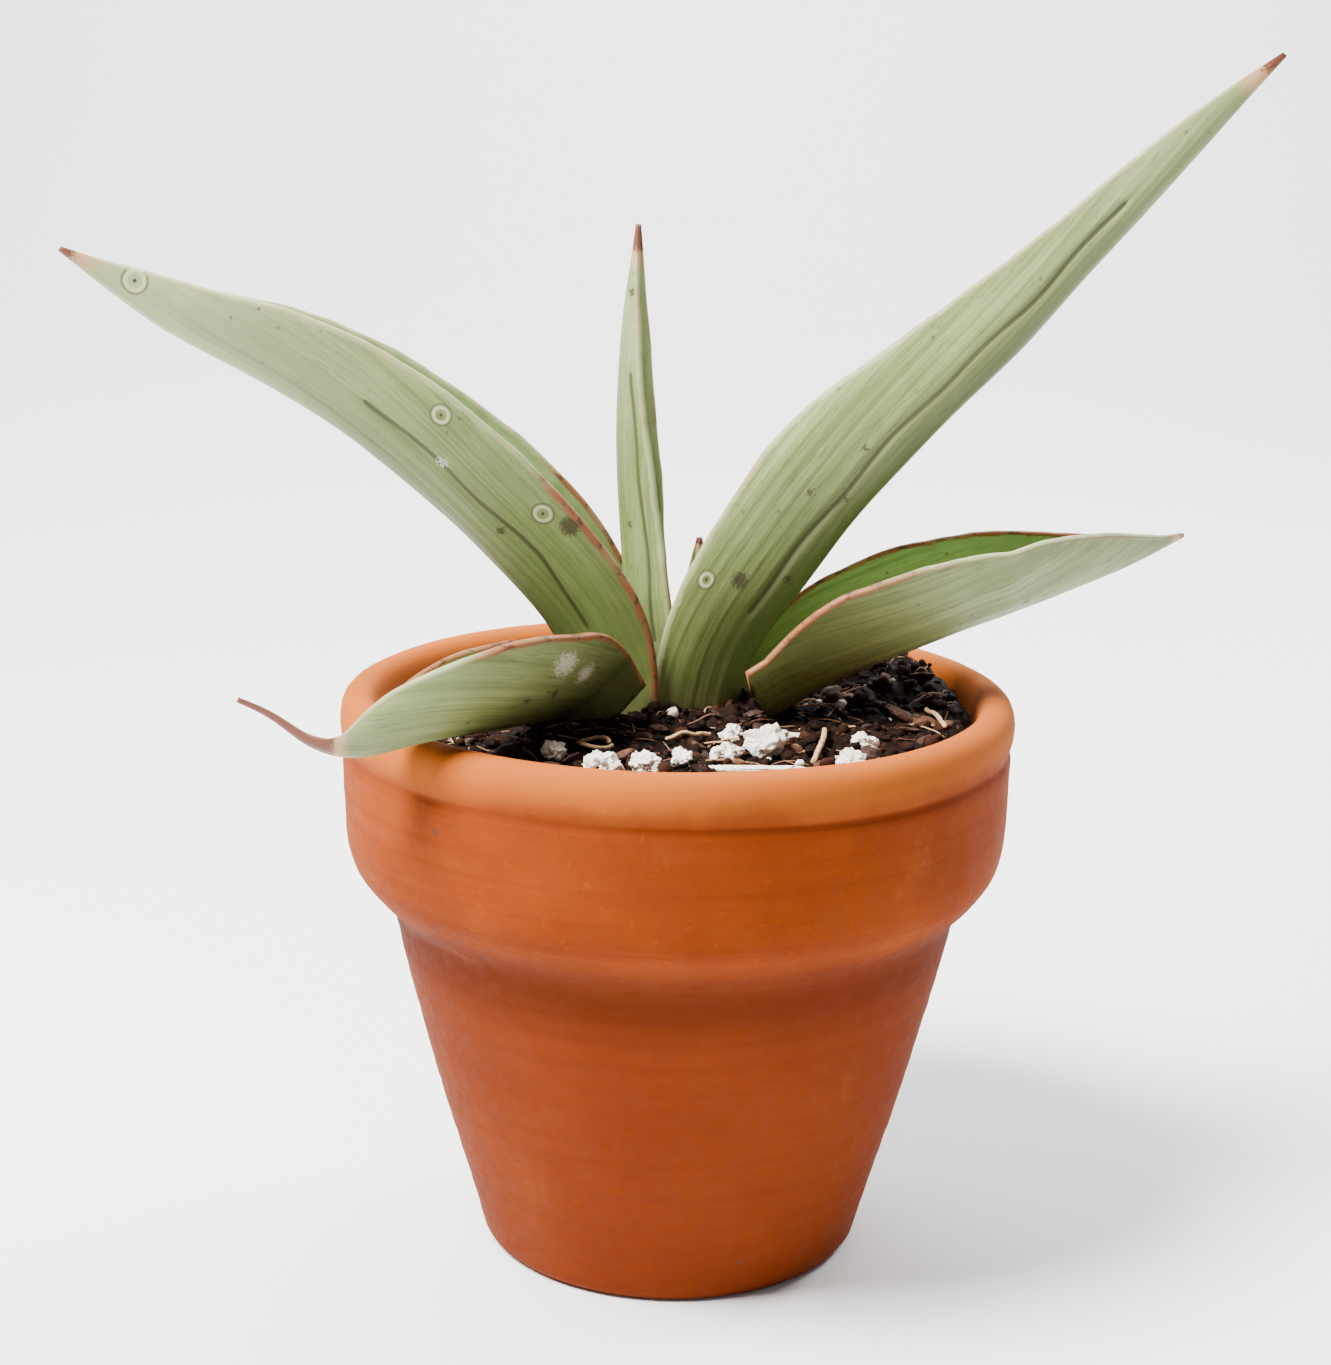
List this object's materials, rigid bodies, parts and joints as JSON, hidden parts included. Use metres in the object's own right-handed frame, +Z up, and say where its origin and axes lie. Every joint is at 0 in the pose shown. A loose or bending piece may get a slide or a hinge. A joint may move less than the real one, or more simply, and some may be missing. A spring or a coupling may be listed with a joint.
{
  "type": "potted snake plant",
  "caption": "Small snake plant with thick channelled grey-green leaves, growing in potting mix in a plain clay pot with a drainage hole.",
  "frame": {"origin": "centre of the pot's foot, on the surface it stands on", "axes": "+Z up along the pot's axis; +X towards the tallest leaf, on the right of the front view; the front faces -Y"},
  "size_m": [0.1762, 0.1052, 0.1879],
  "materials": {
    "terracotta": "matt unglazed clay, paler on the lip",
    "potting_mix": "moist dark peat and bark, rough",
    "rhizome_skin": "matt tan stem skin",
    "leaf_green": "satin grey-green leaf with brown papery margins",
    "perlite_white": "chalky off-white",
    "bark_brown": "matt brown bark",
    "dry_straw": "dry pale straw"
  },
  "bodies": {
    "root": {"pot": "terracotta", "soil": "potting_mix", "rhizome": "rhizome_skin", "leaf_left_tall": "leaf_green", "leaf_middle": "leaf_green", "leaf_right_tall": "leaf_green", "leaf_right_low": "leaf_green", "leaf_left_low": "leaf_green", "leaf_back_small": "leaf_green", "grain_left": "perlite_white", "grain_front_a": "perlite_white", "grain_front_b": "perlite_white", "grain_front_c": "perlite_white", "grain_centre": "perlite_white", "grain_inner": "perlite_white", "grain_pumice": "perlite_white", "grain_right_a": "perlite_white", "grain_right_b": "perlite_white", "grain_back_a": "perlite_white", "grain_back_b": "perlite_white", "grain_back_c": "perlite_white", "flake_pale": "perlite_white", "flake_small": "perlite_white", "bark_left": "bark_brown", "bark_heap": "bark_brown", "straw_front": "dry_straw", "straw_right": "dry_straw", "straw_crown": "dry_straw", "straw_back": "dry_straw", "fibre_curl": "dry_straw"}
  },
  "joints": []
}
